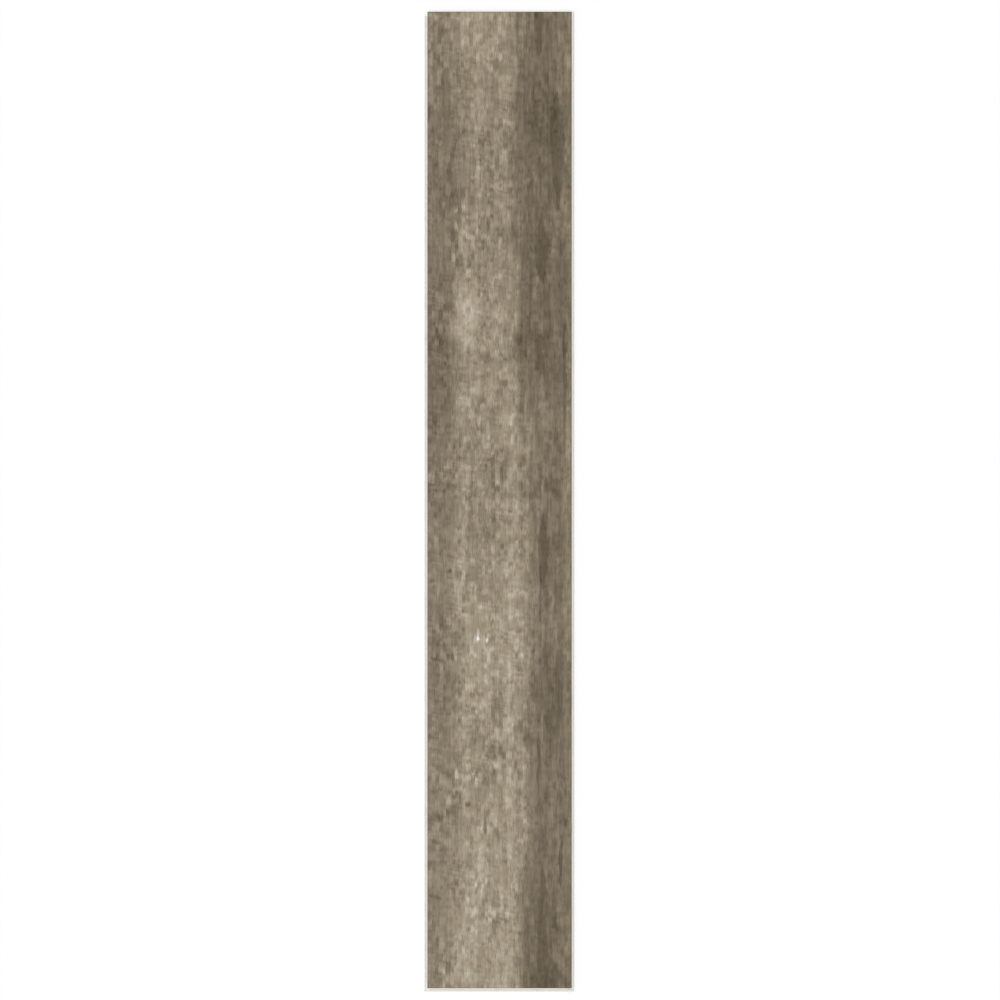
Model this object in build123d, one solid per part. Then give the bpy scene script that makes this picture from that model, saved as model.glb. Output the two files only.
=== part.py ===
from build123d import *
import os
from collections import namedtuple
from math import radians, tan

# A rigid core vinyl floor plank: one panel with a printed face, milled on all four edges
# so that it locks to its neighbours.
#
# The plank lies face up. X runs across its width, Y along its length and Z up from the
# underside. The origin is on the underside, below the middle of the face. All sizes are in
# millimetres.
#
# The two long edges angle together: a tongue on +X and, on -X, a groove over a lower lip
# that ends in a locking rib. The two short ends drop together: an upper hook at +Y and, at
# -Y, a lip with an upstanding hook. Each pair of edges is milled in one straight pass over
# the whole plank, so the plank is what the two passes leave in common.

# The panel. The face is measured from joint to joint, as it shows on a laid floor.
FACE_LENGTH = 1220.0
FACE_WIDTH = 180.0
THICKNESS = 5.0
BEVEL_WIDTH = 0.7
BEVEL_DEPTH = 0.45

# Play between two locked planks. The upper edges of their faces close with none.
LOCK_PLAY = 0.05
END_PLAY = 0.15

# Long edges: the groove, and the lower lip with its locking rib.
LIP_THICKNESS = 1.4
GROOVE_HEIGHT = 1.6
GROOVE_DEPTH = 2.2
GROOVE_MOUTH_RADIUS = 0.2
GROOVE_END_RADIUS = 0.35
TONGUE_TOP_RADIUS = 0.45
TONGUE_UNDER_RADIUS = 0.9
RIB_SET = 2.3
RIB_HEIGHT = 0.75
RIB_ANGLE = 60.0
RIB_CREST = 1.2
RIB_NOSE_RADIUS = 0.5

# Short ends: the drop-in hooks, and the catch that holds them down.
HOOK_LIP_THICKNESS = 1.6
HOOK_SET = 2.5
HOOK_HEIGHT = 1.2
HOOK_ANGLE = 78.0
HOOK_CREST = 1.9
HOOK_NOSE_RADIUS = 0.6
HOOK_TOE_SET = 0.4
CATCH_DEPTH = 0.3
CATCH_BELOW_FACE = 1.6

# Small rounds and chamfers that the cutters leave on all four edges.
ROOT_RADIUS = 0.2
LIP_CHAMFER = 0.3

# A corner of an edge's profile: how far it stands out from the joint plane, its height
# above the underside, and the radius it is rounded to.
Corner = namedtuple("Corner", "out height radius")


def run_of(height, angle):
    """How far a sloping flank reaches sideways over its height."""
    return height / tan(radians(angle))


def bevel():
    """The pressed bevel that every edge of the face has, down to the joint plane."""
    return [
        Corner(-BEVEL_WIDTH, THICKNESS, 0),
        Corner(0, THICKNESS - BEVEL_DEPTH, 0),
    ]


def lip_tip(reach):
    """The end of a lower lip, chamfered at the underside."""
    return [
        Corner(reach, LIP_CHAMFER, 0),
        Corner(reach - LIP_CHAMFER, 0, 0),
    ]


def groove_edge():
    """The receiving long edge, from the face down: groove, lower lip and locking rib."""
    roof = LIP_THICKNESS + GROOVE_HEIGHT
    crest = LIP_THICKNESS + RIB_HEIGHT
    crest_start = RIB_SET + run_of(RIB_HEIGHT, RIB_ANGLE)
    reach = crest_start + RIB_CREST
    groove = [
        Corner(0, roof, GROOVE_MOUTH_RADIUS),
        Corner(-GROOVE_DEPTH, roof, GROOVE_END_RADIUS),
        Corner(-GROOVE_DEPTH, LIP_THICKNESS, GROOVE_END_RADIUS),
    ]
    rib = [
        Corner(RIB_SET, LIP_THICKNESS, ROOT_RADIUS),
        Corner(crest_start, crest, ROOT_RADIUS),
        Corner(reach, crest, RIB_NOSE_RADIUS),
    ]
    return bevel() + groove + rib + lip_tip(reach)


def tongue_edge():
    """The entering long edge: the tongue, and the recess over the neighbour's lip and rib."""
    top = LIP_THICKNESS + GROOVE_HEIGHT - LOCK_PLAY
    seat = LIP_THICKNESS + LOCK_PLAY
    tip = GROOVE_DEPTH - END_PLAY
    flank_foot = RIB_SET - LOCK_PLAY
    flank_head = flank_foot + run_of(RIB_HEIGHT, RIB_ANGLE)
    back_wall = RIB_SET + run_of(RIB_HEIGHT, RIB_ANGLE) + RIB_CREST + END_PLAY
    tongue = [
        Corner(0, top, 0),
        Corner(tip, top, TONGUE_TOP_RADIUS),
        Corner(tip, seat, TONGUE_UNDER_RADIUS),
    ]
    recess = [
        Corner(-flank_foot, seat, ROOT_RADIUS),
        Corner(-flank_head, seat + RIB_HEIGHT, ROOT_RADIUS),
        Corner(-back_wall, seat + RIB_HEIGHT, ROOT_RADIUS),
        Corner(-back_wall, 0, 0),
    ]
    return bevel() + tongue + recess


def lip_end():
    """The receiving short end: closing face, catch, pocket and upstanding hook."""
    catch_top = THICKNESS - CATCH_BELOW_FACE
    crest = HOOK_LIP_THICKNESS + HOOK_HEIGHT
    crest_start = HOOK_SET + run_of(HOOK_HEIGHT, HOOK_ANGLE)
    reach = crest_start + HOOK_CREST
    catch = [
        Corner(0, catch_top, 0),
        Corner(-CATCH_DEPTH, catch_top - CATCH_DEPTH, 0),
        Corner(-CATCH_DEPTH, HOOK_LIP_THICKNESS, ROOT_RADIUS),
    ]
    hook = [
        Corner(HOOK_SET, HOOK_LIP_THICKNESS, ROOT_RADIUS),
        Corner(crest_start, crest, ROOT_RADIUS),
        Corner(reach, crest, HOOK_NOSE_RADIUS),
    ]
    return bevel() + catch + hook + lip_tip(reach)


def hook_end():
    """The entering short end: the nose that snaps under the catch, the hook and its recess."""
    catch_top = THICKNESS - CATCH_BELOW_FACE
    under = HOOK_LIP_THICKNESS + LOCK_PLAY
    flank_foot = HOOK_SET - LOCK_PLAY
    flank_head = flank_foot + run_of(HOOK_HEIGHT, HOOK_ANGLE)
    back_wall = HOOK_SET + run_of(HOOK_HEIGHT, HOOK_ANGLE) + HOOK_CREST + END_PLAY
    nose = [
        Corner(0, catch_top - LOCK_PLAY, 0),
        Corner(CATCH_DEPTH - LOCK_PLAY, catch_top - CATCH_DEPTH, 0),
        Corner(-HOOK_TOE_SET, under, ROOT_RADIUS),
    ]
    recess = [
        Corner(-flank_foot, under, ROOT_RADIUS),
        Corner(-flank_head, under + HOOK_HEIGHT, ROOT_RADIUS),
        Corner(-back_wall, under + HOOK_HEIGHT, ROOT_RADIUS),
        Corner(-back_wall, 0, 0),
    ]
    return bevel() + nose + recess


def carried_on(start, end, rise):
    """The point a further rise above or below end, on the line from start through end."""
    share = rise / (end.height - start.height)
    return Corner(end.out + (end.out - start.out) * share, end.height + rise, 0)


def past_panel(edge):
    """The same edge, its first and last lines carried on above the face and below the panel."""
    above = carried_on(edge[1], edge[0], THICKNESS)
    below = carried_on(edge[-2], edge[-1], -THICKNESS)
    return [above] + edge[1:-1] + [below]


def milled_bar(plane, span, low_edge, high_edge, length):
    """A bar of one milled section, with an edge at each end of the span."""
    high_side = [(span / 2 + c.out, c.height, c.radius) for c in high_edge]
    low_side = [(-span / 2 - c.out, c.height, c.radius) for c in reversed(low_edge)]
    outline = high_side + low_side
    points = [(across, height) for across, height, _ in outline]
    radii = [radius for _, _, radius in outline]
    section = plane * make_face(FilletPolyline(*points, radius=radii, close=True))
    return extrude(section, amount=length / 2, both=True)


def plank():
    """The whole plank, without the chip that the two passes cut loose where lip meets hook."""
    across = Plane(origin=(0, 0, 0), x_dir=(1, 0, 0), z_dir=(0, -1, 0))
    along = Plane(origin=(0, 0, 0), x_dir=(0, 1, 0), z_dir=(1, 0, 0))
    low_end = past_panel(lip_end())
    high_end = past_panel(hook_end())
    long_pass = milled_bar(across, FACE_WIDTH, groove_edge(), tongue_edge(), 2 * FACE_LENGTH)
    end_pass = milled_bar(along, FACE_LENGTH, low_end, high_end, 2 * FACE_WIDTH)
    milled = long_pass & end_pass
    return max(milled.solids(), key=lambda solid: solid.volume)


os.makedirs("parts", exist_ok=True)
export_step(plank(), "parts/plank.step")
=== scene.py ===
"""A rigid core vinyl floor plank, dressed for its portrait.

The plank is one pressed panel: a printed and embossed face with a dark bevel round it, a pale mineral-filled core
that shows on the milled edges, and a plain backing. It lies face up on a white studio floor, seen straight down.
X runs across the plank, Y along it and Z up. Meshes are in metres, and the figure of the wood in millimetres.
"""

import logging
import math
from dataclasses import dataclass, replace
from enum import Enum, IntEnum
from typing import Any, NamedTuple, Sequence, Union

import bmesh
import bpy
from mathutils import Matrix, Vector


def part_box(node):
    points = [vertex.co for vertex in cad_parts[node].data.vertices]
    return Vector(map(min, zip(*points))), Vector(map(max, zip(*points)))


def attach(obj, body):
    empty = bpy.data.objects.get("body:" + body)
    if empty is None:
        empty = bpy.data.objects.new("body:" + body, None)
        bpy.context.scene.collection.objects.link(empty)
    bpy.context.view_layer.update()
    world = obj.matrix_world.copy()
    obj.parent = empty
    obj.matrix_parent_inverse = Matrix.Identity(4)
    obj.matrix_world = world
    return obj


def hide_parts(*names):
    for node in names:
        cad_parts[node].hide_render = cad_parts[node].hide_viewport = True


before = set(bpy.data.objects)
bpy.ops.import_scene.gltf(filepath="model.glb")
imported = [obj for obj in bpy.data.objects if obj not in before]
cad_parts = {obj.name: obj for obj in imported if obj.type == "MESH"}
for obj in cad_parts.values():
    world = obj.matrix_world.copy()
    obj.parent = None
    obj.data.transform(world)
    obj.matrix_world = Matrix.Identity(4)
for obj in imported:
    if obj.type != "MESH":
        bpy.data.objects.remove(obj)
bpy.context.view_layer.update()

log = logging.getLogger("plank")

MM = 0.001
FULL_LEVEL = 255.0
WELD_GAP = 1e-7
FLAT_ANGLE = math.radians(0.2)
CREASE_ANGLE = math.radians(24)
# The colour sockets of a Mix node, by number, because their names repeat for each kind of value.
MIX_SHARE, MIX_FIRST, MIX_SECOND, MIX_RESULT = 0, 6, 7, 2
Number = Union[float, "Signal"]
Curve = Sequence[tuple[float, float]]
Rows = Sequence[tuple]
Span = tuple[float, float]
Levels = tuple[float, float, float]


class Zone(IntEnum):
    """The three surfaces of the plank, in the order of its material slots."""

    FACE = 0
    EDGE = 1
    BACK = 2


class Outline(NamedTuple):
    """How a mark fades out: the share of noise in its outline, and the reaches at which it is gone and in full."""

    ragged: float
    gone: float
    full: float


class Form(Enum):
    """The form of a single mark in the figure, with its outline.

    A cloud is a round-ended soft spot, a flame a lens that runs out to a point at both ends, and a chip a small spot
    with a clear outline.
    """

    CLOUD = Outline(1.6, 1.4, 0.4)
    FLAME = Outline(0.7, 1.1, 0.65)
    CHIP = Outline(1.2, 1.3, 0.5)


class Signal:
    """One output of a node. Arithmetic on it adds Math nodes to its board."""

    def __init__(self, board: "Board", socket: bpy.types.NodeSocket) -> None:
        """Keeps the output and the board that it is on."""
        self.board = board
        self.socket = socket

    def _math(self, operation: str, *terms: Number) -> "Signal":
        """The output of a new Math node with these values, in order."""
        return self.board.node("ShaderNodeMath", {"operation": operation}, dict(enumerate(terms)))

    def __add__(self, other: Number) -> "Signal":
        """self + other."""
        return self._math("ADD", self, other)

    def __radd__(self, other: Number) -> "Signal":
        """other + self."""
        return self._math("ADD", other, self)

    def __sub__(self, other: Number) -> "Signal":
        """self - other."""
        return self._math("SUBTRACT", self, other)

    def __rsub__(self, other: Number) -> "Signal":
        """other - self."""
        return self._math("SUBTRACT", other, self)

    def __mul__(self, other: Number) -> "Signal":
        """self * other."""
        return self._math("MULTIPLY", self, other)

    def __rmul__(self, other: Number) -> "Signal":
        """other * self."""
        return self._math("MULTIPLY", other, self)

    def __truediv__(self, other: Number) -> "Signal":
        """self / other."""
        return self._math("DIVIDE", self, other)

    def __abs__(self) -> "Signal":
        """The size of self without its sign."""
        return self._math("ABSOLUTE", self)

    def lower_of(self, other: Number) -> "Signal":
        """The lower of self and other."""
        return self._math("MINIMUM", self, other)

    def step(self, start: Number, end: Number) -> "Signal":
        """A smooth step from 0, where this signal is at start, to 1, where it is at end, which may be the lower."""
        settings = {"interpolation_type": "SMOOTHSTEP"}
        sockets = {"Value": self, "From Min": start, "From Max": end}
        return self.board.node("ShaderNodeMapRange", settings, sockets)


class Board:
    """A node tree of a material or a modifier, on which expressions are laid out."""

    def __init__(self, tree: bpy.types.NodeTree) -> None:
        """Clears the tree."""
        tree.nodes.clear()
        self.tree = tree

    def node(
        self,
        kind: str,
        settings: dict[str, Any] | None = None,
        sockets: dict[Any, Any] | None = None,
        out: Any = 0,
    ) -> Signal:
        """Adds one node.

        Args:
            kind: the node's type.
            settings: its settings, which are set first. A ramp's stops are pairs of place and colour.
            sockets: its inputs by name or number, each a value or a signal.
            out: the name or number of the wanted output.

        Returns:
            That output, or the node's first input where it has no output.
        """
        made = self.tree.nodes.new(kind)
        for name, value in (settings or {}).items():
            if name == "stops":
                self._set_stops(made.color_ramp, value)
            else:
                setattr(made, name, value)
        for name, value in (sockets or {}).items():
            if isinstance(value, Signal):
                self.tree.links.new(value.socket, made.inputs[name])
            else:
                made.inputs[name].default_value = value
        return Signal(self, made.outputs[out] if made.outputs else made.inputs[0])

    @staticmethod
    def _set_stops(ramp: bpy.types.ColorRamp, stops: Sequence[tuple[float, Sequence[float]]]) -> None:
        """Sets a new ramp's stops: places from 0 to 1, rising, each with a colour."""
        ramp.interpolation = "CARDINAL"
        ramp.elements.remove(ramp.elements[1])
        ramp.elements[0].position = stops[0][0]
        ramp.elements[0].color = stops[0][1]
        for place, tint in stops[1:]:
            ramp.elements.new(place).color = tint

    def vector(self, x: Number = 0.0, y: Number = 0.0, z: Number = 0.0) -> Signal:
        """A vector of three values."""
        return self.node("ShaderNodeCombineXYZ", None, {"X": x, "Y": y, "Z": z})

    def split(self, vector: Signal) -> tuple[Signal, Signal, Signal]:
        """The three values of a vector."""
        first = self.node("ShaderNodeSeparateXYZ", None, {"Vector": vector})
        x, y, z = (Signal(self, output) for output in first.socket.node.outputs)
        return x, y, z

    def noise(self, x: Number, y: Number, z: Number, detail: float) -> Signal:
        """Smooth noise, mostly from -0.5 to 0.5, at a place in cells, with some finer noises added to it."""
        sockets = {"Vector": self.vector(x, y, z), "Scale": 1.0, "Detail": detail, "Roughness": 0.55}
        return self.node("ShaderNodeTexNoise", None, sockets) * 2.0 - 1.0

    def mix(self, share: Number, first: Any, second: Any) -> Signal:
        """A mix of two colours, each a value or a signal, with this share of the second one."""
        sockets = {MIX_SHARE: share, MIX_FIRST: first, MIX_SECOND: second}
        return self.node("ShaderNodeMix", {"data_type": "RGBA"}, sockets, MIX_RESULT)


def linear(level: float) -> float:
    """The linear value of a display level from 0 to 255, by the sRGB curve."""
    share = max(level, 0.0) / FULL_LEVEL
    if share <= 0.04045:
        return share / 12.92
    return ((share + 0.055) / 1.055) ** 2.4


def colour(red: float, green: float, blue: float) -> tuple[float, float, float, float]:
    """A colour of three display levels from 0 to 255, as a socket takes it."""
    return (linear(red), linear(green), linear(blue), 1.0)


@dataclass(frozen=True)
class Mark:
    """One mark in the figure of the face. Sizes are in millimetres, the tone in display levels.

    Attributes:
        name: what it is.
        across: its middle, from the middle of the face towards the tongue edge.
        along: its middle, from the middle of the face towards the hook end.
        half_width: its reach across.
        half_length: its reach along.
        tone: how much lighter the face is there, or darker if negative.
        slant: its rise along the plank for each millimetre across.
        form: its form.
    """

    name: str
    across: float
    along: float
    half_width: float
    half_length: float
    tone: float
    slant: float = 0.0
    form: Form = Form.CLOUD

    @property
    def is_dark_flame(self) -> bool:
        """Whether it is a dark flame, which is pressed into the face and has a calmer grain."""
        return self.form is Form.FLAME and self.tone < 0


# The marks of each form, by name: the middle across and along, the reach across and along, the tone, and any slant.
CLOUDS: Rows = (
    ("pale corner", -83, 602, 6, 7, 20),
    ("pale top", -35, 585, 14, 30, 7),
    ("upper dot", -56, 441, 2.5, 4, -20),
    ("upper glow", -25, 400, 6, 24, 16),
    ("pale patch", -43, 226, 17, 36, 25),
    ("patch foot", -40, 196, 13, 22, 5),
    ("right gleam", 87, 550, 3, 10, 16),
    ("right flake", -9, 136, 5, 9, 10),
    ("pale chip", 16, 108, 5, 12, 12),
    ("mottle high", -3, 38, 15, 26, -10),
    ("mottle mid", -17, -40, 12, 14, -12),
    ("left valley", -28, -124, 5, 14, -17),
    ("pale knot", 14, -90, 9, 6, 20),
    ("left notch", -47, -172, 14, 20, -4),
    ("notch edge", -41, -197, 15, 7, 2, 1.3),
    ("broad light", -30, -222, 20, 50, 10),
    ("mottle low", -4, -262, 9, 22, -6),
    ("lower patch", -43, -275, 8, 10, 8),
    ("mottle lower", -11, -320, 7, 10, -24),
    ("mottle under", -12, -343, 9, 12, -22),
    ("mottle left", -27, -335, 4, 7, -11),
    ("mottle edge", -56, -393, 5, 13, -13),
    ("lower fleck", 10, -380, 5, 10, 10),
    ("mottle foot", -9, -450, 6, 12, -9),
    ("wedge", -21, -456, 6, 28, 19),
    ("wedge edge", -37, -491, 13, 8, 17, 1.4),
    ("broad branch", 55, 487, 18, 30, -13),
    ("dark patch", 42, 187, 17, 46, -8),
    ("edge shade", 74, 130, 13, 60, -8),
    ("low shade", 68, 35, 12, 45, -11),
    ("right shade", 76, -110, 8, 30, -11),
    ("lower shade", 78, -382, 8, 40, -12),
    ("foot shade", 38, -604, 13, 16, -5),
    ("foot corner", 68, -604, 18, 14, -9),
)
FLAMES: Rows = (
    ("left streak", -67, 485, 5, 60, -4),
    ("upper ridge", -28, 470, 6, 65, 7),
    ("left ridge", -43, 335, 8, 60, 9),
    ("middle ridge", -45, -8, 8, 110, 12),
    ("right ridge", 15, -20, 7, 170, 9),
    ("low ridge", 13, -340, 6, 140, 12),
    ("light streak", 11.8, -270, 2.4, 90, 10),
    ("lower chip", -42, -345, 7, 40, 8),
    ("top flame", 49, 598, 7, 48, -20),
    ("broad flame", 73, 442, 9, 76, -17),
    ("flame foot", 71, 383, 5, 24, -11),
    ("flame line", 51, 410, 2, 30, -14),
    ("flame tail", 38, 372, 7, 28, -13),
    ("upper lens", 52.5, 314, 9, 46, -19),
    ("patch tail", 51, 184, 6, 26, -13),
    ("edge crack", 81.5, 145, 2.4, 105, -16),
    ("crack head", 82.5, 200, 4, 28, -13),
    ("strong lens", 54.5, -62, 7.5, 52, -23),
    ("lens line", 52, -118, 2.2, 46, -20),
    ("right blob", 61, -275, 7, 18, -15),
    ("right flame", 75, -224, 6, 60, -14),
    ("thin crack", 48.5, -333, 2.2, 48, -18),
    ("edge line", 76.5, -452, 3.4, 36, -28),
    ("foot gleam", 75, -500, 7, 40, 8),
    ("foot flame", 54, -562, 9, 115, -14),
)
CHIPS: Rows = (
    ("upper spot", -26.3, 414, 2.4, 12, 15),
    ("patch heart", -40, 236, 6.5, 17, 14),
    ("upper dash", -3.4, 236, 2.2, 10, 14),
    ("upper nick", -3.4, 213, 2, 5, 18),
    ("left flake", -42, 120, 9, 10, 23),
    ("middle dash", -13.4, 70, 2, 10, 10),
    ("pale nick", 16, 76, 2.5, 8, 22),
    ("left dot", -62, -88, 3, 3.5, -30),
    ("left speck", -26.7, -173.7, 1.6, 2.4, 68),
    ("right speck", -15.5, -175, 1.6, 2.6, 66),
    ("left dash", -26.7, -166, 1.8, 6, 32),
    ("right dash", -19, -180, 1.8, 8, 18),
    ("patch core", 25, 202, 5, 9, -20),
    ("first tick", -79, -199, 7, 2.6, -30, -0.25),
    ("second tick", -81, -427, 8, 2.6, -16, -0.3),
    ("third tick", -80, -496, 8, 3.0, -25, -0.2),
    ("short tick", -84, -101, 5, 2.2, -28, 0.1),
)


def marks_of(form: Form, rows: Rows) -> tuple[Mark, ...]:
    """The marks of one form, each from the row of its other attributes."""
    return tuple(Mark(*row, form=form) for row in rows)


@dataclass(frozen=True)
class Strength:
    """How much a noise does: a tint in display levels, or a shift in millimetres.

    Attributes:
        whole: its strength on the whole face.
        light: what the light band adds to that.
        left: what the left band adds.
        dark: what the dark band adds.
    """

    whole: float = 1.0
    light: float = 0.0
    left: float = 0.0
    dark: float = 0.0


class Bands(NamedTuple):
    """How much of a point lies in each band of the figure, from 0 to 1."""

    left: Signal
    light: Signal
    dark: Signal

    def strength(self, given: Strength) -> Number:
        """The strength of a noise at the point."""
        total: Number = given.whole
        for added, share in ((given.light, self.light), (given.left, self.left), (given.dark, self.dark)):
            if added:
                total = total + added * share
        return total


@dataclass(frozen=True)
class Cells:
    """The cells of one noise on a surface.

    Attributes:
        width: their size across, in millimetres.
        length: their size along, in millimetres.
        seed: shifts the noise, so that no two are alike.
        detail: how many finer noises are added.
        strength: how much the noise does.
        start: the level of the noise from which its patches show.
        end: the level at which they show in full.
        depth: how deep it marks the surface, in millimetres.
    """

    width: float
    length: float
    seed: float
    detail: float = 1.0
    strength: Strength = Strength()
    start: float = -0.5
    end: float = 0.5
    depth: float = 0.0

    def noise(self, board: Board, across: Signal, along: Signal) -> Signal:
        """The noise on a board, at a place in millimetres."""
        return board.noise(across / self.width, along / self.length, self.seed, self.detail)


@dataclass(frozen=True)
class Figure:
    """The figure of the wood on the face: three bands along it, marks in them, and the grain.

    Tones are display levels from 0 to 255, and sizes millimetres. Curves are pairs of a place along the plank and a
    value there, and each goes with a span that holds all its values.
    """

    half_length: float = 610.0

    # The bands: the tone of each one, and where the light band in the middle begins and ends.
    tone_span: Span = (60.0, 200.0)
    left_tone: Curve = (
        (-610, 128), (-480, 121), (-400, 123), (-230, 114), (-90, 119), (30, 116), (110, 108), (200, 103), (330, 112),
        (450, 109), (590, 120),
    )
    light_tone: Curve = (
        (-600, 148), (-480, 146), (-300, 140), (-165, 145), (-60, 136), (30, 130),
        (100, 138), (170, 136), (235, 141), (310, 133), (430, 129), (510, 136), (600, 144),
    )
    dark_tone: Curve = (
        (-600, 98), (-500, 101), (-390, 110), (-245, 103), (-165, 112), (-50, 108), (50, 115),
        (105, 115), (180, 104), (290, 100), (370, 106), (450, 101), (600, 104),
    )
    left_span: Span = (-100.0, 0.0)
    left_edge: Curve = (
        (-600, -70), (-545, -60), (-490, -52), (-410, -57), (-300, -60), (-200, -53), (-100, -60), (110, -58),
        (165, -61), (240, -57), (400, -52), (610, -52),
    )
    right_span: Span = (0.0, 50.0)
    right_edge: Curve = (
        (-610, 25), (-540, 26), (-470, 29), (-400, 33), (-320, 33), (-250, 36), (-150, 38), (-90, 37), (30, 36),
        (95, 31), (165, 16), (255, 23), (330, 18), (500, 21), (610, 22),
    )
    bend: Cells = Cells(40, 240, 1.7, 3.0, Strength(5.0))
    fray: Cells = Cells(9, 50, 2.3, 2.0, Strength(16.0))
    left_fade: Span = (-14.0, 16.0)
    right_fade: Span = (-11.0, 13.0)

    # The lift of the tone towards the tongue edge, and where it rises.
    rim_tone: float = 9.0
    rim_rise: Span = (66.0, 92.0)

    # The shifts that break up an outline: fibre by fibre, in tears, and in bundles of fibres.
    fibres: Cells = Cells(0.45, 40, 13.3)
    long_comb: float = 7.0
    short_comb: float = 5.0
    tear_aside: Cells = Cells(6, 26, 12.9, 2.0, Strength(4.5))
    tear_ahead: Cells = Cells(4, 36, 14.1, 2.0, Strength(10.0))
    ragged: Cells = Cells(9, 22, 19.7, 3.0)
    bundle_width: float = 4.7
    bundle_apart: float = 53.7
    bundle_wander: Cells = Cells(60, 160, 33.7, 1.0, Strength(4.0))
    bundle_sides: Cells = Cells(5, 16, 34.9, 1.5, Strength(1.8))

    # The rough grain: how busy it is, its shares of blotches and dashes, and how far a dark flame calms it.
    busy: Cells = Cells(32, 70, 26.1, 2.0, Strength(17.0, light=11.5, left=11.0), start=-0.35, end=0.35)
    least_busy: float = 0.5
    blotches: Cells = Cells(8.5, 14, 18.3, 2.0, Strength(0.62))
    dashes: Cells = Cells(1, 12, 20.3, 2.0, Strength(0.6), start=0.05, end=0.2)
    dash_edges: float = 0.26
    flame_calm: float = 0.6

    # The fine grain: chalky fill, open pores, light flecks and dark spots.
    chalk: Cells = Cells(0.8, 9, 20.9, 0.5, Strength(10.0, light=18.0), start=0.0, end=0.45)
    chalk_patches: Cells = Cells(11, 18, 24.5, 2.0, start=-0.25, end=0.35)
    chalk_mean: float = 0.16
    pores: Cells = Cells(0.5, 8, 25.1, 0.0, Strength(16.0), start=0.28, end=0.46, depth=0.07)
    flecks: Cells = Cells(1, 14, 29.3, 1.0, Strength(6.0, light=12.0), start=0.2, end=0.35)
    spots: Cells = Cells(1, 9, 30.1, 1.0, Strength(10.0, light=6.0), start=0.25, end=0.4)

    # The streaks, the mottle between them, and the saw lines that rise across the plank.
    long_streaks: Cells = Cells(8, 170, 21.1, 2.0, Strength(16.0, dark=7.0), depth=0.06)
    short_streaks: Cells = Cells(7, 34, 22.7, 1.5, Strength(9.0, dark=8.0))
    strands: Cells = Cells(4.2, 80, 36.1, 2.0, Strength(11.0, light=5.0))
    hairs: Cells = Cells(1.3, 26, 37.3, 0.0, Strength(9.0))
    mottle: Cells = Cells(16, 18, 23.9, 2.0, Strength(6.0, light=10.0))
    saw_lines: Cells = Cells(26, 3.6, 27.7, 1.0, Strength(22.0))
    saw_patches: Cells = Cells(34, 60, 28.9, 2.0, start=-0.1, end=0.35)
    saw_rise: float = 0.22

    # What only the relief has, and how deep a dark flame is pressed.
    furrows: Cells = Cells(1.1, 26, 41.9, depth=0.06)
    swell: Cells = Cells(6, 60, 31.3, depth=0.04)
    flame_depth: float = 0.05

    marks: tuple[Mark, ...] = (
        *marks_of(Form.CLOUD, CLOUDS), *marks_of(Form.FLAME, FLAMES), *marks_of(Form.CHIP, CHIPS),
    )


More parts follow.
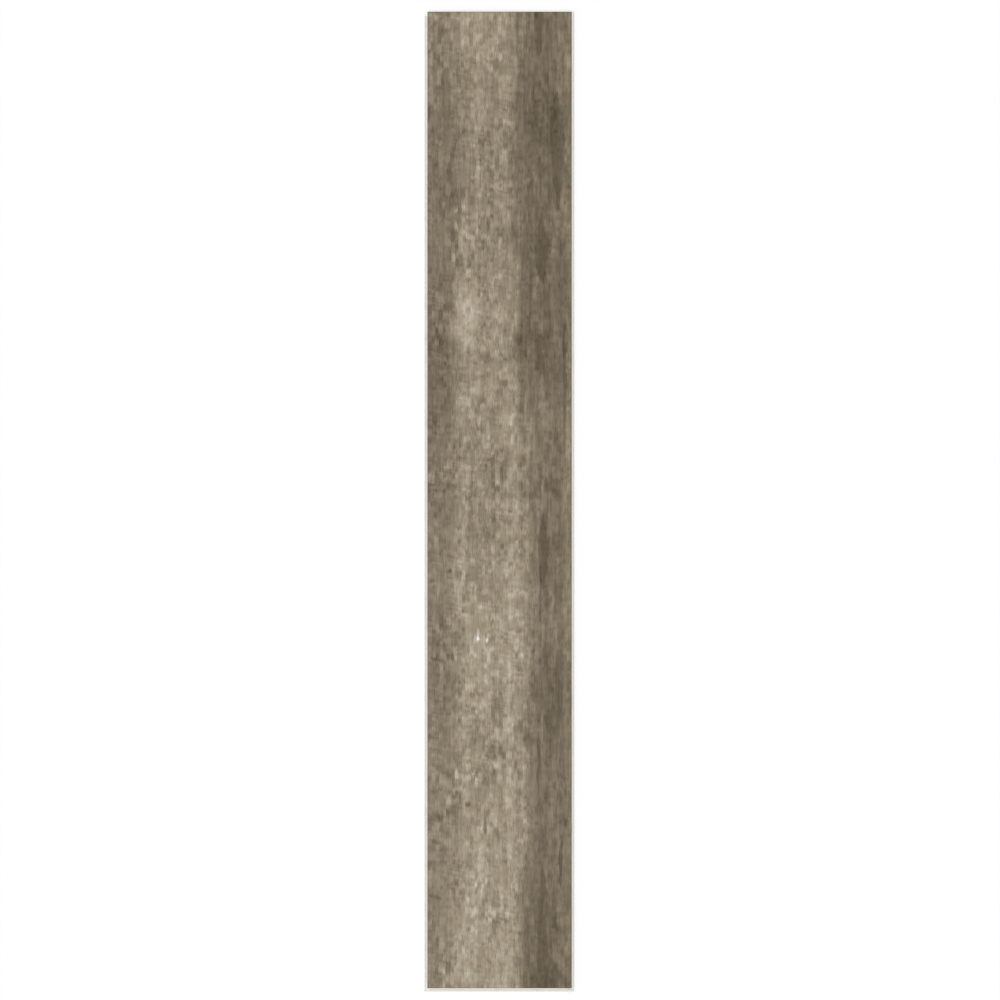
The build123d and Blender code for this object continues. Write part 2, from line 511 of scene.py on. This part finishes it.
@dataclass(frozen=True)
class Grain:
    """The figure laid out on a board. The print and the pressed relief both read it, so they stay in register.

    Attributes:
        board: the board to work on.
        figure: the figure to lay out.
        across: the point's place across the plank, in millimetres.
        along: its place along the plank, in millimetres.
    """

    board: Board
    figure: Figure
    across: Signal
    along: Signal

    def noise(self, cells: Cells) -> Signal:
        """The noise of some cells at this point."""
        return cells.noise(self.board, self.across, self.along)

    def shift(self, cells: Cells) -> Signal:
        """The noise of some cells at this point, in their own strength."""
        return cells.strength.whole * self.noise(cells)

    def tint(self, cells: Cells, bands: Bands) -> Signal:
        """The noise of some cells at this point, in the strength that they have in its bands."""
        return bands.strength(cells.strength) * self.noise(cells)

    def patches(self, cells: Cells) -> Signal:
        """How much the patches of some cells show at this point, from 0 to 1."""
        return self.noise(cells).step(cells.start, cells.end)

    def inset(self, half_width: float) -> Signal:
        """How far the point is in from the nearest edge of a face this wide, in millimetres."""
        return (half_width - abs(self.across)).lower_of(self.figure.half_length - abs(self.along))

    def fibred(self, shift: float) -> "Grain":
        """The grain shifted along, fibre by fibre, by so many millimetres, so that marks on it end like combs."""
        return replace(self, along=self.along + shift * self.noise(self.figure.fibres))

    def bundled(self) -> "Grain":
        """The fibred grain gathered into bundles: a point's place across becomes a number of its bundle's own."""
        figure = self.figure
        place = self.across + self.shift(figure.bundle_wander) + self.shift(figure.bundle_sides)
        sockets = {"W": place / figure.bundle_width, "Scale": 1.0, "Randomness": 1.0}
        bundle = self.board.node("ShaderNodeTexVoronoi", {"voronoi_dimensions": "1D"}, sockets, "W")
        return replace(self.fibred(figure.short_comb), across=figure.bundle_apart * bundle)

    def torn(self) -> "Grain":
        """The fibred grain with the wider shifts that give a mark an uneven outline."""
        aside = self.shift(self.figure.tear_aside)
        ahead = self.shift(self.figure.tear_ahead)
        fibred = self.fibred(self.figure.long_comb)
        return replace(fibred, across=fibred.across + aside, along=fibred.along + ahead)

    def curve(self, points: Curve, span: Span) -> Signal:
        """A curve over the length of the plank.

        Args:
            points: pairs of a place along and a value.
            span: a value under all of them and one over all of them.

        Returns:
            The curve's value.
        """
        low, high = span
        half = self.figure.half_length
        share = (self.along + half) / (2 * half)
        stops = []
        for place, value in points:
            grey = (value - low) / (high - low)
            stops.append(((place + half) / (2 * half), (grey, grey, grey, 1.0)))
        return self.board.node("ShaderNodeValToRGB", {"stops": stops}, {"Fac": share}) * (high - low) + low

    def mark(self, mark: Mark, ragged: Signal) -> Signal:
        """How strongly one mark shows.

        Args:
            mark: the mark.
            ragged: noise that breaks up its outline.

        Returns:
            A signal from 0, outside it, to 1 inside.
        """
        dx = self.across - mark.across
        dy = self.along - mark.along
        if mark.slant:
            dy = dy - mark.slant * dx
        dx = abs(dx) / mark.half_width
        dy = dy / mark.half_length
        outline = mark.form.value
        sideways = dx if mark.form is Form.FLAME else dx * dx
        return (sideways + dy * dy + outline.ragged * ragged).step(outline.gone, outline.full)

    def past_edges(self) -> tuple[Signal, Signal]:
        """How far the point is past the left edge of the light band, and past its right edge, from 0 to 1."""
        figure = self.figure
        place = self.across + self.shift(figure.bend) + self.shift(figure.fray)
        left = self.curve(figure.left_edge, figure.left_span)
        right = self.curve(figure.right_edge, figure.right_span)
        past_left = place.step(left + figure.left_fade[0], left + figure.left_fade[1])
        past_right = place.step(right + figure.right_fade[0], right + figure.right_fade[1])
        return past_left, past_right

    def tone(self) -> Signal:
        """The tone of the print, in display levels."""
        figure = self.figure
        past_left, past_right = self.past_edges()
        bands = Bands(1.0 - past_left, past_left * (1.0 - past_right), past_right)
        left = self.curve(figure.left_tone, figure.tone_span)
        light = self.curve(figure.light_tone, figure.tone_span)
        dark = self.curve(figure.dark_tone, figure.tone_span)
        tone = left + (light - left) * past_left
        tone = tone + (dark - tone) * past_right + figure.rim_tone * self.across.step(*figure.rim_rise)
        torn = self.torn()
        chipped = self.fibred(figure.short_comb)
        ragged = self.noise(figure.ragged)
        calm: Number = 1.0
        for mark in figure.marks:
            ground = chipped if mark.form is Form.CHIP else torn
            strength = ground.mark(mark, ragged)
            tone = tone + mark.tone * strength
            if mark.is_dark_flame:
                calm = calm * (1.0 - figure.flame_calm * strength)
        bundled = self.bundled()
        tone = tone + self.rough_grain(bands, bundled) * calm + self.fine_grain(bands, bundled)
        streaks = self.tint(figure.long_streaks, bands) + self.tint(figure.short_streaks, bands)
        streaks = streaks + self.tint(figure.strands, bands)
        tone = tone + calm * streaks + self.tint(figure.hairs, bands) + self.tint(figure.mottle, bands)
        return tone + self.saw_marks() * (1.0 - past_right)

    def rough_grain(self, bands: Bands, bundled: "Grain") -> Signal:
        """What the blotches and dashes of the rough grain add to the tone.

        Args:
            bands: the point's shares of the bands.
            bundled: the grain gathered into bundles.

        Returns:
            A number of display levels.
        """
        figure = self.figure
        cells = figure.dashes
        dashes = bundled.noise(cells)
        clear = dashes.step(-cells.end, -cells.start) + dashes.step(cells.start, cells.end)
        blotches = self.fibred(figure.long_comb).shift(figure.blotches)
        busy = bands.strength(figure.busy.strength) * (figure.least_busy + self.patches(figure.busy))
        return busy * (blotches + cells.strength.whole * dashes + figure.dash_edges * (clear - 1.0))

    def fine_grain(self, bands: Bands, bundled: "Grain") -> Signal:
        """What the chalk, pores, flecks and spots of the fine grain add to the tone.

        Args:
            bands: the point's shares of the bands.
            bundled: the grain gathered into bundles.

        Returns:
            A number of display levels.
        """
        figure = self.figure
        chalk = self.patches(figure.chalk) * self.patches(figure.chalk_patches) - figure.chalk_mean
        tone = bands.strength(figure.chalk.strength) * chalk - figure.pores.strength.whole * self.open_pores()
        tone = tone + bands.strength(figure.flecks.strength) * bundled.patches(figure.flecks)
        return tone - bands.strength(figure.spots.strength) * bundled.patches(figure.spots)

    def saw_marks(self) -> Signal:
        """What the patches of saw lines add to the tone, in display levels."""
        figure = self.figure
        rising = replace(self, along=self.along + figure.saw_rise * self.across)
        return self.patches(figure.saw_patches) * rising.shift(figure.saw_lines)

    def open_pores(self) -> Signal:
        """Where the fine open pores lie, from 0 to 1. They are both printed and pressed."""
        return self.patches(self.figure.pores)

    def pressed(self) -> Signal:
        """The depth of the pressed relief that the mesh carries, in millimetres."""
        figure = self.figure
        torn = self.torn()
        ragged = self.noise(figure.ragged)
        depth = figure.long_streaks.depth * self.patches(figure.long_streaks)
        depth = depth + figure.swell.depth * self.patches(figure.swell)
        for mark in figure.marks:
            if mark.is_dark_flame:
                depth = depth + figure.flame_depth * torn.mark(mark, ragged)
        return depth

    def fine_relief(self) -> Signal:
        """The fine relief that only bends the light, in millimetres."""
        figure = self.figure
        return figure.furrows.depth * self.noise(figure.furrows) - figure.pores.depth * self.open_pores()


class Coat(NamedTuple):
    """What a finish puts on a surface: its colour, how matt it is, and the height of its fine relief in millimetres."""

    base: Signal
    roughness: Signal
    height: Signal


@dataclass(frozen=True)
class Finish:
    """A finish of the plank.

    Attributes:
        name: the name of its material.
        gloss: the level of its reflection.
    """

    name: str = "finish"
    gloss: float = 0.3

    def coat(self, board: Board, place: Signal) -> Coat:
        """What the finish puts on a surface.

        Args:
            board: the board to work on.
            place: the point's place in metres.

        Returns:
            The coat at that point.
        """
        raise NotImplementedError

    def material(self) -> bpy.types.Material:
        """Makes the material.

        Returns:
            The new material.
        """
        made = bpy.data.materials.new(self.name)
        made.use_nodes = True
        board = Board(made.node_tree)
        coat = self.coat(board, board.node("ShaderNodeTexCoord", out="Object"))
        relief = board.node("ShaderNodeBump", None, {"Strength": 1.0, "Distance": MM, "Height": coat.height})
        sockets = {
            "Base Color": coat.base,
            "Roughness": coat.roughness,
            "Specular IOR Level": self.gloss,
            "Normal": relief,
        }
        shader = board.node("ShaderNodeBsdfPrincipled", None, sockets)
        board.node("ShaderNodeOutputMaterial", None, {"Surface": shader})
        return made


@dataclass(frozen=True)
class Ink:
    """The warm grey of the printing inks, whose palest tones are nearly neutral. Tones are display levels.

    Attributes:
        lift: the level of green, as a share of the tone.
        red: how far red is above green: a level, and a share of the tone.
        blue: how far blue is below green, likewise.
        pale: the tones between which the grey loses its warmth.
        pale_loss: the share of its warmth that it loses.
        tones: the stops of its ramp.
    """

    lift: float = 1.007
    red: Span = (11.2, 0.006)
    blue: Span = (16.5, 0.033)
    pale: Span = (150.0, 220.0)
    pale_loss: float = 0.75
    tones: tuple[float, ...] = (40, 70, 90, 105, 120, 135, 150, 165, 185, 205, 230)

    def mixed(self, tone: float) -> tuple[float, float, float, float]:
        """The colour of the inks at one tone."""
        start, end = self.pale
        warmth = 1.0 - self.pale_loss * min(max((tone - start) / (end - start), 0.0), 1.0)
        green = self.lift * tone
        above = (self.red[0] + self.red[1] * tone) * warmth
        below = (self.blue[0] + self.blue[1] * tone) * warmth
        return colour(green + above, green, green - below)

    def printed(self, board: Board, tone: Signal) -> Signal:
        """The colour of the inks on a board, at a tone that varies."""
        stops = [(level / FULL_LEVEL, self.mixed(level)) for level in self.tones]
        return board.node("ShaderNodeValToRGB", {"stops": stops}, {"Fac": tone / FULL_LEVEL})


@dataclass(frozen=True)
class PrintedFace(Finish):
    """The finish of the face: the printed figure under a matt embossed wear layer.

    Attributes:
        figure: the figure of the wood.
        ink: the inks that it is printed in.
        half_width: half the face's width, in millimetres.
        bevel_width: how far in from the edge the dark bevel shows, in millimetres.
        bevel_blur: how soft its inner edge is to either side, in millimetres.
        bevel_dark: the share of the tone that the bevel loses.
        roughness: how matt the wear layer is.
        roughness_swing: how much that varies.
    """

    name: str = "printed_face"
    figure: Figure = Figure()
    ink: Ink = Ink()
    half_width: float = 90.0
    bevel_width: float = 0.8
    bevel_blur: float = 0.2
    bevel_dark: float = 0.2
    roughness: float = 0.5
    roughness_swing: float = 0.15

    def grain(self, board: Board, place: Signal) -> Grain:
        """The grain of the face at a place in metres."""
        x, y, _ = board.split(place)
        return Grain(board, self.figure, x / MM, y / MM)

    def coat(self, board: Board, place: Signal) -> Coat:
        """The print with its dark bevel, and the pores of the wear layer."""
        grain = self.grain(board, place)
        inset = grain.inset(self.half_width)
        on_bevel = inset.step(self.bevel_width + self.bevel_blur, self.bevel_width - self.bevel_blur)
        base = self.ink.printed(board, grain.tone() * (1.0 - self.bevel_dark * on_bevel))
        roughness = self.roughness + self.roughness_swing * grain.noise(self.figure.short_streaks)
        return Coat(base, roughness, grain.fine_relief())


@dataclass(frozen=True)
class MilledCore(Finish):
    """The finish of the milled edges: pale stone-filled vinyl, with fine specks and cutter marks along each edge.

    Attributes:
        body: the display levels of the core.
        speck: those of its darker mineral specks.
        film: those of the printed film, a thin line at the top of an edge.
        film_rise: the heights between which the film begins, in millimetres.
        film_share: how much of its colour shows.
        speck_size: the size of the specks, in millimetres.
        speck_share: how much of their colour shows.
        cloud_size: the size of the clouds of finer specks.
        cloud_share: how much of the specks' colour they show.
        cut_size: the size of the cutter marks each way, in millimetres.
        cut_depth: their depth, in millimetres.
        speck_depth: that of the specks.
        roughness: how matt the cut is.
        roughness_swing: how much that varies.
    """

    name: str = "milled_core"
    body: Levels = (235, 232, 226)
    speck: Levels = (206, 203, 196)
    film: Levels = (120, 108, 92)
    film_rise: Span = (4.25, 4.35)
    film_share: float = 0.85
    speck_size: float = 0.7
    speck_share: float = 0.7
    cloud_size: float = 14.0
    cloud_share: float = 0.35
    cut_size: tuple[float, float, float] = (0.5, 9.0, 0.25)
    cut_depth: float = 0.02
    speck_depth: float = 0.01
    roughness: float = 0.62
    roughness_swing: float = 0.1

    def coat(self, board: Board, place: Signal) -> Coat:
        """The speckled core under the thin line of the film."""
        x, y, z = (length / MM for length in board.split(place))
        fine, wide = self.speck_size, self.cloud_size
        cut_x, cut_y, cut_z = self.cut_size
        specks = board.noise(x / fine, y / fine, z / fine, detail=2.0).step(0.12, 0.45)
        clouds = board.noise(x / wide, y / wide, z / wide, detail=2.0)
        cuts = board.noise(x / cut_x, y / cut_y, z / cut_z, detail=1.0)
        share = self.speck_share * specks + self.cloud_share * clouds.step(0.0, 0.6)
        base = board.mix(share, colour(*self.body), colour(*self.speck))
        base = board.mix(self.film_share * z.step(*self.film_rise), base, colour(*self.film))
        roughness = self.roughness + self.roughness_swing * clouds
        return Coat(base, roughness, self.cut_depth * cuts + self.speck_depth * specks)


@dataclass(frozen=True)
class PlainBacking(Finish):
    """The finish of the underside: a plain grey backing with fine sanding lines across it.

    Attributes:
        body: the display levels of the backing.
        shade: those of its sanding lines.
        mean_shade: the share of shade where all its noises are 0.
        lines: the sanding lines, with their share of shade.
        specks: the specks between them.
        clouds: the wider clouds.
        roughness: how matt it is.
        roughness_swing: how much that varies.
    """

    name: str = "plain_backing"
    body: Levels = (188, 184, 176)
    shade: Levels = (160, 156, 148)
    mean_shade: float = 0.4
    lines: Cells = Cells(60, 1.1, 61.3, 2.0, Strength(0.6), depth=0.03)
    specks: Cells = Cells(1.1, 1.1, 62.9, 2.0, Strength(0.5), depth=0.02)
    clouds: Cells = Cells(70, 120, 63.1, 3.0, Strength(0.5))
    roughness: float = 0.7
    roughness_swing: float = 0.12

    def coat(self, board: Board, place: Signal) -> Coat:
        """The sanded backing."""
        x, y, _ = (length / MM for length in board.split(place))
        layers = (self.lines, self.specks, self.clouds)
        lines, specks, clouds = (cells.noise(board, x, y) for cells in layers)
        share = self.mean_shade + self.lines.strength.whole * lines
        share = share + self.specks.strength.whole * specks + self.clouds.strength.whole * clouds
        base = board.mix(share.step(0.0, 1.0), colour(*self.body), colour(*self.shade))
        roughness = self.roughness + self.roughness_swing * specks
        return Coat(base, roughness, self.lines.depth * lines + self.specks.depth * specks)


@dataclass(frozen=True)
class MapLayout:
    """Where the plank's surfaces lie on its texture map, in shares of the map.

    The face takes most of the map. The underside and the edges are squeezed lengthwise into a column beside it. Each
    edge has four cells in that column, one for each way that its surfaces look.

    Attributes:
        margin: the gap round the map and between its areas.
        face_width: the width of the face's area.
        back_height: the height of the underside's area.
        lean: how far a surface that faces outwards slides with its depth, so that none lie on each other.
        reach: how far an edge's profile reaches either way on the map, in metres.
        reach_share: the share of a cell's width that this reach takes.
        end_gap: the share of a cell's height that is left free at each end.
        cells: the number of cells each way.
    """

    margin: float = 0.005
    face_width: float = 0.8
    back_height: float = 0.5
    lean: float = 1.6
    reach: float = 11.0 * MM
    reach_share: float = 0.45
    end_gap: float = 0.02
    cells: int = 4


@dataclass
class Plank:
    """The plank: the milled panel with its face pressed into a fine grid.

    Attributes:
        node: the panel's node in the frame.
        body: the body that it rides on.
        land: the flat land between the bevel and the pressed grain, in metres.
        cell_across: the size of the grid's cells across the plank, in metres.
        cell_along: their size along it.
        face_height: the height over which a surface belongs to the face, in metres.
        face_lean: how far up it has to look, as a share.
        back_height: the height under which a surface belongs to the underside, in metres.
        back_lean: how far down it has to look.
        press_height: the heights between which a point comes to lie on top, in millimetres.
        press_inset: how far in from the edge the relief starts, and is full, in millimetres.
        layout: the layout of its texture map.
        face: the finish of the face.
        edge: the finish of the milled edges.
        back: the finish of the underside.
    """

    node: str = "plank"
    body: str = "root"
    land: float = 1.2 * MM
    cell_across: float = 0.92 * MM
    cell_along: float = 2.7 * MM
    face_height: float = 4.5 * MM
    face_lean: float = 0.3
    back_height: float = 0.1 * MM
    back_lean: float = 0.99
    press_height: Span = (4.9, 4.95)
    press_inset: Span = (2.0, 5.0)
    layout: MapLayout = MapLayout()
    face: PrintedFace = PrintedFace()
    edge: MilledCore = MilledCore()
    back: PlainBacking = PlainBacking()

    def build(self) -> bpy.types.Object:
        """Builds the plank, dresses it and ties it to the frame.

        Returns:
            The finished object.
        """
        shape = bmesh.new()
        shape.from_mesh(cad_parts[self.node].data)
        self._clean(shape)
        self._grid_face(shape)
        self._sort_zones(shape)
        self._lay_map(shape)
        mesh = bpy.data.meshes.new("printed_plank")
        shape.to_mesh(mesh)
        shape.free()
        piece = bpy.data.objects.new("printed_plank", mesh)
        bpy.context.scene.collection.objects.link(piece)
        for finish in (self.face, self.edge, self.back):
            mesh.materials.append(finish.material())
        self._press(piece)
        piece.data.shade_smooth()
        piece.data.set_sharp_from_angle(angle=CREASE_ANGLE)
        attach(piece, self.body)
        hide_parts(self.node)
        return piece

    @staticmethod
    def _clean(shape: bmesh.types.BMesh) -> None:
        """Merges the loose triangles of the panel into whole flat faces.

        Args:
            shape: the panel's mesh.
        """
        bmesh.ops.remove_doubles(shape, verts=shape.verts, dist=WELD_GAP)
        bmesh.ops.dissolve_limit(shape, angle_limit=FLAT_ANGLE, verts=shape.verts, edges=shape.edges)

    def _grid_face(self, shape: bmesh.types.BMesh) -> None:
        """Leaves a flat land inside the bevel and divides the rest of the face into a grid.

        Args:
            shape: the panel's mesh.
        """
        top = max(shape.faces, key=lambda face: face.calc_area() * face.normal.z)
        bmesh.ops.inset_individual(shape, faces=[top], thickness=self.land, use_even_offset=True)
        sides = sorted(top.edges, key=lambda side: side.calc_length())
        short_sides, long_sides = sides[:2], sides[2:]
        rows = round(long_sides[0].calc_length() / self.cell_along)
        columns = round(short_sides[0].calc_length() / self.cell_across)
        cut = bmesh.ops.subdivide_edges(shape, edges=long_sides, cuts=rows - 1)
        inner = [part for part in cut["geom_inner"] if isinstance(part, bmesh.types.BMEdge)]
        rungs = [side for side in inner if abs(side.verts[0].co.y - side.verts[1].co.y) < self.land]
        bmesh.ops.subdivide_edges(shape, edges=rungs + short_sides, cuts=columns - 1)

    def _sort_zones(self, shape: bmesh.types.BMesh) -> None:
        """Gives each face its material slot.

        Args:
            shape: the panel's mesh.
        """
        for face in shape.faces:
            height = face.calc_center_median().z
            if face.normal.z > self.face_lean and height > self.face_height:
                face.material_index = Zone.FACE
            elif face.normal.z < -self.back_lean and height < self.back_height:
                face.material_index = Zone.BACK
            else:
                face.material_index = Zone.EDGE

    def _lay_map(self, shape: bmesh.types.BMesh) -> None:
        """Lays the surfaces out on the texture map.

        Args:
            shape: the panel's mesh.
        """
        layout = self.layout
        layer = shape.loops.layers.uv.new("OFBake")
        low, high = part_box(self.node)
        column = 1.0 - layout.face_width - 3 * layout.margin
        column_start = 1.0 - layout.margin - column
        edges_height = 1.0 - layout.back_height - 3 * layout.margin
        for face in shape.faces:
            zone = Zone(face.material_index)
            for corner in face.loops:
                place = corner.vert.co
                x = (place.x - low.x) / (high.x - low.x)
                y = (place.y - low.y) / (high.y - low.y)
                if zone is Zone.FACE:
                    uv = (layout.margin + layout.face_width * x, layout.margin + (1 - 2 * layout.margin) * y)
                elif zone is Zone.BACK:
                    uv = (column_start + column * x, 1 - layout.margin - layout.back_height * (1 - y))
                else:
                    u, v = self._edge_place(face, place, x, y)
                    uv = (column_start + column * u, layout.margin + edges_height * v)
                corner[layer].uv = uv

    def _edge_place(self, face: bmesh.types.BMFace, place: Any, x: float, y: float) -> tuple[float, float]:
        """Where a corner of an edge's surface lies in the map's area for the edges.

        Args:
            face: the surface.
            place: the corner's place, in metres.
            x: its share of the plank's width.
            y: its share of the plank's length.

        Returns:
            The corner's shares of the area's width and height.
        """
        middle = face.calc_center_median()
        half_width = self.face.half_width * MM
        half_length = self.face.figure.half_length * MM
        on_long_edge = abs(middle.x) - half_width > abs(middle.y) - half_length
        if on_long_edge:
            side = 0 if middle.x < 0 else 1
            out, outward, along = abs(place.x) - half_width, face.normal.x * math.copysign(1, middle.x), y
        else:
            side = 2 if middle.y < 0 else 3
            out, outward, along = abs(place.y) - half_length, face.normal.y * math.copysign(1, middle.y), x
        if abs(face.normal.z) > abs(outward):
            way = 0 if face.normal.z > 0 else 1
            slide = out
        else:
            way = 2 if outward > 0 else 3
            slide = out * self.layout.lean + place.z
        layout = self.layout
        across_cell = 0.5 + layout.reach_share * slide / layout.reach
        up_cell = layout.end_gap + (1 - 2 * layout.end_gap) * along
        return (way + across_cell) / layout.cells, (side + up_cell) / layout.cells

    def _press(self, piece: bpy.types.Object) -> None:
        """Presses the relief of the grain into the grid of the face, in register with the print.

        Args:
            piece: the plank's object.
        """
        tree = bpy.data.node_groups.new("press", "GeometryNodeTree")
        tree.interface.new_socket("Geometry", in_out="INPUT", socket_type="NodeSocketGeometry")
        tree.interface.new_socket("Geometry", in_out="OUTPUT", socket_type="NodeSocketGeometry")
        board = Board(tree)
        place = board.node("GeometryNodeInputPosition")
        grain = self.face.grain(board, place)
        on_top = (board.split(place)[2] / MM).step(*self.press_height)
        reach = grain.inset(self.face.half_width).step(*self.press_inset) * on_top
        drop = grain.pressed() * reach * -MM
        sockets = {"Geometry": board.node("NodeGroupInput"), "Offset": board.vector(z=drop)}
        moved = board.node("GeometryNodeSetPosition", None, sockets)
        board.node("NodeGroupOutput", None, {"Geometry": moved})
        press = piece.modifiers.new("press", "NODES")
        press.node_group = tree
        ready = piece.evaluated_get(bpy.context.evaluated_depsgraph_get())
        pressed = bpy.data.meshes.new_from_object(ready)
        piece.modifiers.clear()
        piece.data = pressed


@dataclass
class Studio:
    """The white floor, the soft light and the camera that looks straight down.

    Attributes:
        floor_size: the floor's side, in metres.
        floor_rise: how far the plank beds into the floor, in metres, so that the two never lie in one plane.
        floor_white: the floor's own white.
        floor_lift: what the camera sees added to it, so that the lit floor comes out white.
        sky: the strength of the even light from all round.
        lamp: the share of light that the soft lamp adds on a level surface.
        lamp_turn: the lamp's direction round the plank, in degrees.
        lamp_tilt: its lean from straight down, in degrees.
        lamp_spread: how wide it looks, in degrees.
        picture_side: the side of the picture, in pixels.
        face_pixels: the length of the face in the picture, in pixels.
        face_middle: the middle of the face in the picture, from its left, in pixels.
        lens: the focal length, in millimetres.
    """

    floor_size: float = 60.0
    floor_rise: float = 0.03 * MM
    floor_white: float = 0.9
    floor_lift: float = 0.1
    sky: float = 0.66
    lamp: float = 0.34
    lamp_turn: float = -60.0
    lamp_tilt: float = 30.0
    lamp_spread: float = 40.0
    picture_side: float = 1000.0
    face_pixels: float = 976.5
    face_middle: float = 499.5
    lens: float = 135.0

    def build_floor(self) -> bpy.types.Object:
        """Makes the floor.

        Returns:
            The floor's object.
        """
        shape = bmesh.new()
        bmesh.ops.create_grid(shape, x_segments=1, y_segments=1, size=self.floor_size / 2)
        bmesh.ops.translate(shape, verts=shape.verts, vec=(0.0, 0.0, self.floor_rise))
        mesh = bpy.data.meshes.new("floor")
        shape.to_mesh(mesh)
        shape.free()
        mesh.materials.append(self._floor_finish())
        floor = bpy.data.objects.new("floor", mesh)
        bpy.context.scene.collection.objects.link(floor)
        return floor

    def _floor_finish(self) -> bpy.types.Material:
        """The floor's white, lifted where the camera or a reflection sees it."""
        made = bpy.data.materials.new("white_floor")
        made.use_nodes = True
        board = Board(made.node_tree)
        ray = board.node("ShaderNodeLightPath").socket.node
        kinds = ("Is Camera Ray", "Is Glossy Ray", "Is Transmission Ray")
        camera, glossy, through = (Signal(board, ray.outputs[kind]) for kind in kinds)
        seen = (camera + glossy + through).lower_of(1.0)
        white = (self.floor_white, self.floor_white, self.floor_white, 1.0)
        matt = board.node("ShaderNodeBsdfDiffuse", None, {"Color": white})
        lift = board.node("ShaderNodeEmission", None, {"Strength": seen * self.floor_lift})
        both = board.node("ShaderNodeAddShader", None, {0: matt, 1: lift})
        board.node("ShaderNodeOutputMaterial", None, {"Surface": both})
        return made

    def build_light(self) -> bpy.types.Object:
        """Makes the even light and the soft lamp.

        Returns:
            The lamp's object.
        """
        world = bpy.data.worlds.new("studio")
        world.use_nodes = True
        bpy.context.scene.world = world
        board = Board(world.node_tree)
        ray = board.node("ShaderNodeLightPath", out="Is Camera Ray")
        strength = self.sky + (1.0 - self.sky) * ray
        white = board.node("ShaderNodeBackground", None, {"Color": (1, 1, 1, 1), "Strength": strength})
        board.node("ShaderNodeOutputWorld", None, {"Surface": white})
        data = bpy.data.lights.new("soft_lamp", "SUN")
        data.energy = self.lamp * math.pi / math.cos(math.radians(self.lamp_tilt))
        data.angle = math.radians(self.lamp_spread)
        lamp = bpy.data.objects.new("soft_lamp", data)
        lamp.rotation_euler = (math.radians(self.lamp_tilt), 0.0, math.radians(self.lamp_turn))
        bpy.context.scene.collection.objects.link(lamp)
        return lamp

    def build_camera(self, face_length: float, face_height: float) -> bpy.types.Object:
        """Makes the camera and sets it as the scene's own.

        Args:
            face_length: the length of the face, in metres.
            face_height: its height above the floor, in metres.

        Returns:
            The camera's object.
        """
        data = bpy.data.cameras.new("camera")
        data.lens = self.lens
        pixel = face_length / self.face_pixels
        field = pixel * self.picture_side
        camera = bpy.data.objects.new("camera", data)
        aside = (self.picture_side / 2 - self.face_middle) * pixel
        camera.location = (aside, 0.0, face_height + field * data.lens / data.sensor_width)
        data.clip_end = self.floor_size
        bpy.context.scene.collection.objects.link(camera)
        bpy.context.scene.camera = camera
        return camera


def triangles(piece: bpy.types.Object) -> int:
    """The number of triangles in a piece's mesh."""
    piece.data.calc_loop_triangles()
    return len(piece.data.loop_triangles)


def main() -> None:
    """Builds the plank and the studio, and reports each piece."""
    logging.basicConfig(level=logging.INFO, format="%(message)s")
    bpy.context.scene.view_settings.view_transform = "Standard"
    plank = Plank()
    piece = plank.build()
    log.info("%s: %d triangles", piece.name, triangles(piece))
    studio = Studio()
    log.info("%s", studio.build_floor().name)
    log.info("%s", studio.build_light().name)
    _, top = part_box(plank.node)
    camera = studio.build_camera(2 * plank.face.figure.half_length * MM, top.z)
    log.info("%s: %.2f m above the floor", camera.name, camera.location.z)


if __name__ == "__main__":
    main()
